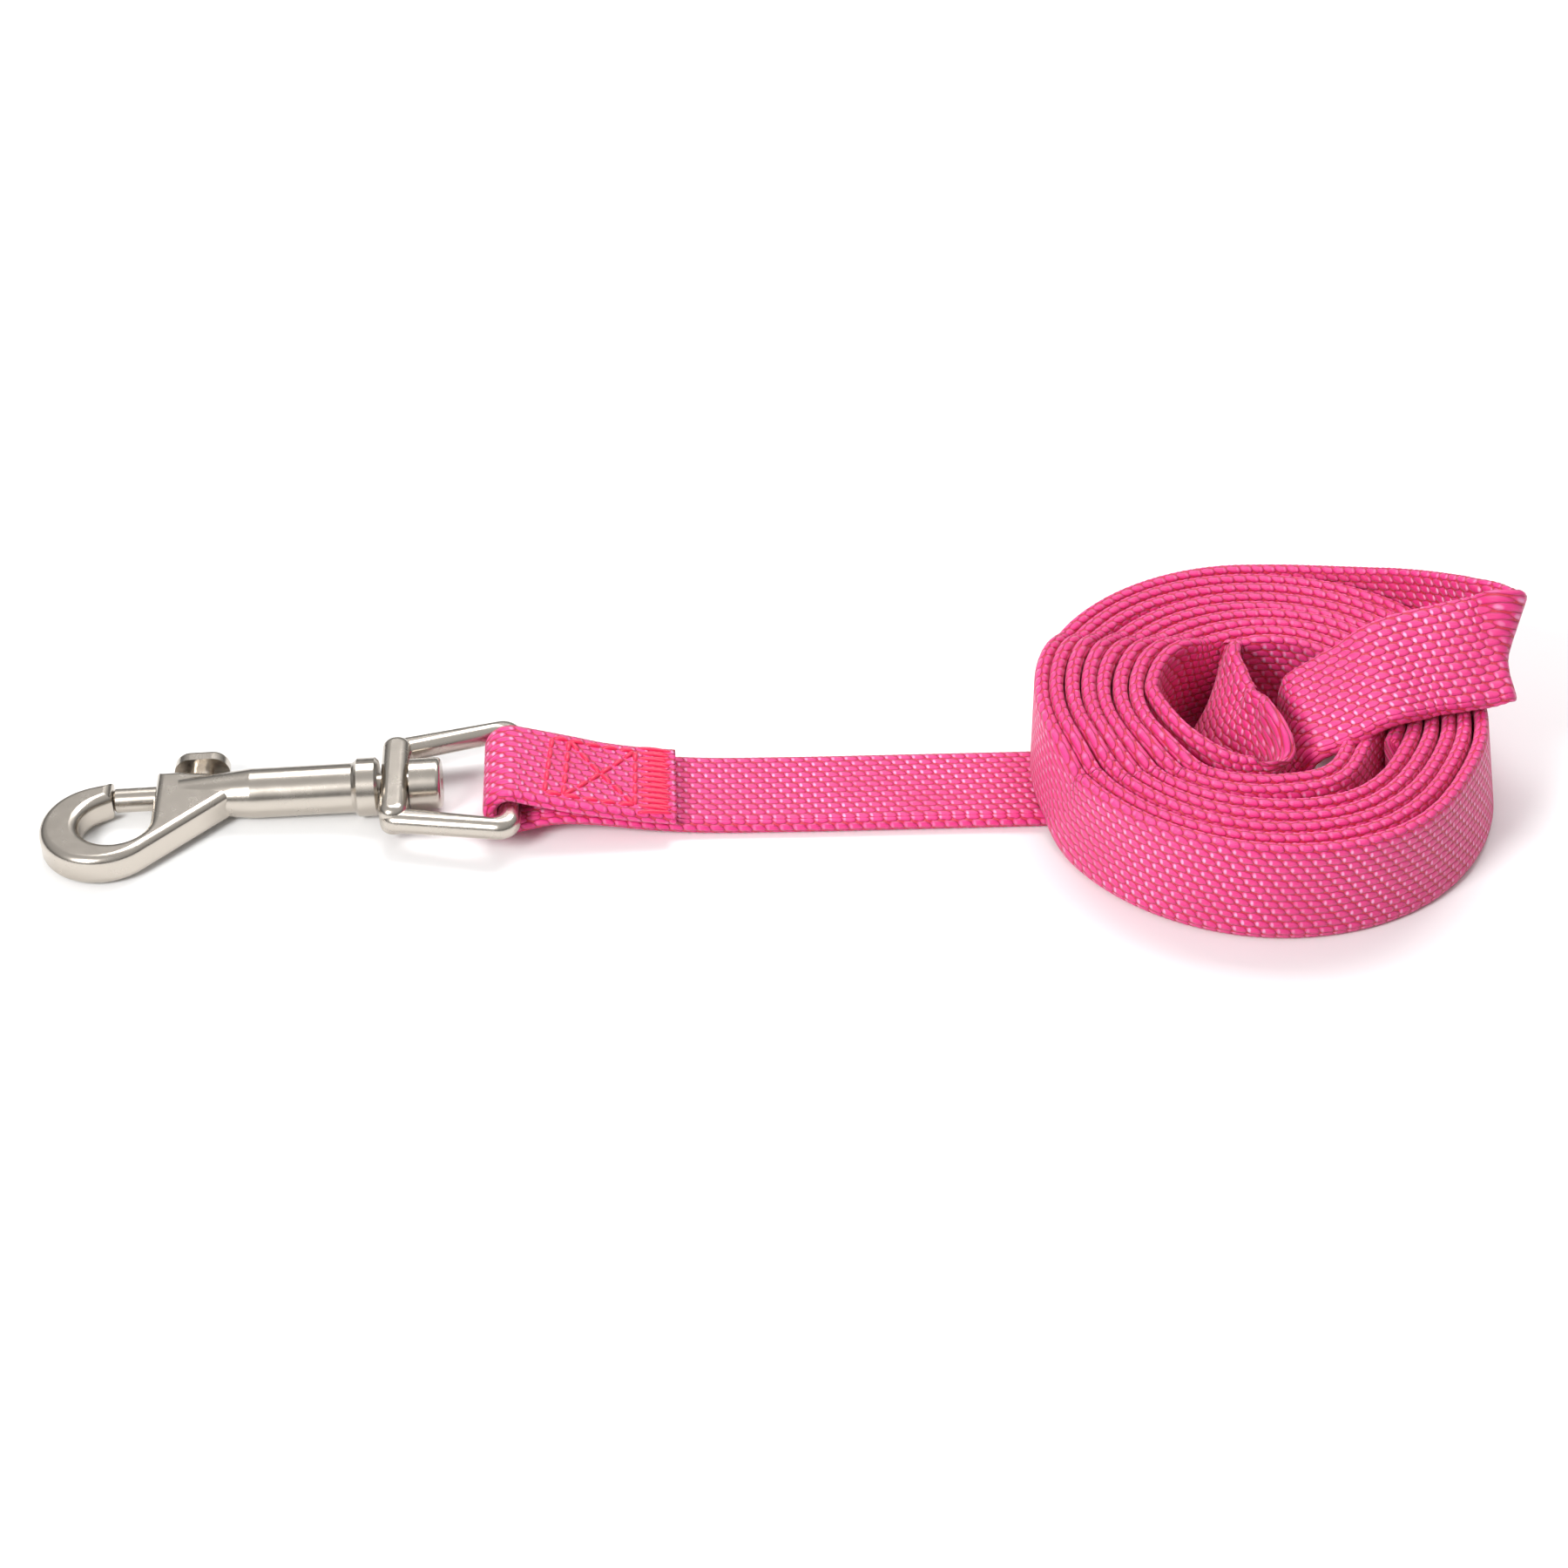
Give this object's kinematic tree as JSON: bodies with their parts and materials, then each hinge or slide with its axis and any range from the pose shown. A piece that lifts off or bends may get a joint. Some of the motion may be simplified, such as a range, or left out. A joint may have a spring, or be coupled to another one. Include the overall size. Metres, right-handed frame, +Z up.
{
  "type": "training_leash",
  "caption": "Pink webbing training leash coiled on edge for storage, with a sewn hand loop and a swivel bolt snap whose thumb bolt is sprung.",
  "frame": {"origin": "centre of the footprint on the floor", "axes": "+X from the snap to the coil along the lead, +Y away from the side the hook's belly is on, +Z up"},
  "size_m": [0.2484, 0.0797, 0.0352],
  "materials": {
    "webbing": "woven nylon webbing, hot pink",
    "thread": "bonded nylon sewing thread, deeper pink",
    "hardware": "nickel-plated zinc, softly polished",
    "spring_wire": "drawn spring wire"
  },
  "bodies": {
    "strap": {"webbing_eye_loop": "webbing", "webbing_lead": "webbing", "webbing_underpass": "webbing", "webbing_riser": "webbing", "webbing_crossing": "webbing", "webbing_fold": "webbing", "webbing_rise": "webbing", "coil_turn_1": "webbing", "coil_turn_2": "webbing", "coil_turn_3": "webbing", "coil_turn_4": "webbing", "coil_turn_5": "webbing", "hand_loop_outer_layer": "webbing", "hand_loop_bight": "webbing", "hand_loop_inner_layer": "webbing", "eye_box_stitch": "thread", "eye_cross_stitch": "thread", "eye_bar_tack": "thread", "hand_box_stitch": "thread", "hand_cross_stitch": "thread", "hand_bar_tack": "thread"},
    "eye": {"swivel_eye": "hardware"},
    "snap": {"snap_body": "hardware", "swivel_pin": "hardware", "bolt_spring": "spring_wire"},
    "bolt": {"snap_bolt": "hardware", "thumb_tab": "hardware"}
  },
  "joints": [
    {"name": "eye_tilt", "type": "hinge", "parent": "strap", "child": "eye", "pos_m": [-0.04602, 0, 0.00602], "axis": [0, 1, 0], "range_deg": [0, 110]},
    {"name": "snap_swivel", "type": "hinge", "parent": "eye", "child": "snap", "pos_m": [-0.0681, 0, 0.00511], "axis": [0.9992, 0, 0.041], "continuous": true},
    {"name": "bolt_slide", "type": "slide", "parent": "snap", "child": "bolt", "axis": [0.9992, 0, 0.041], "range_m": [0, 0.008], "stiffness_N_per_m": 400, "springref_m": -0.006, "deforming": ["bolt_spring"]}
  ]
}
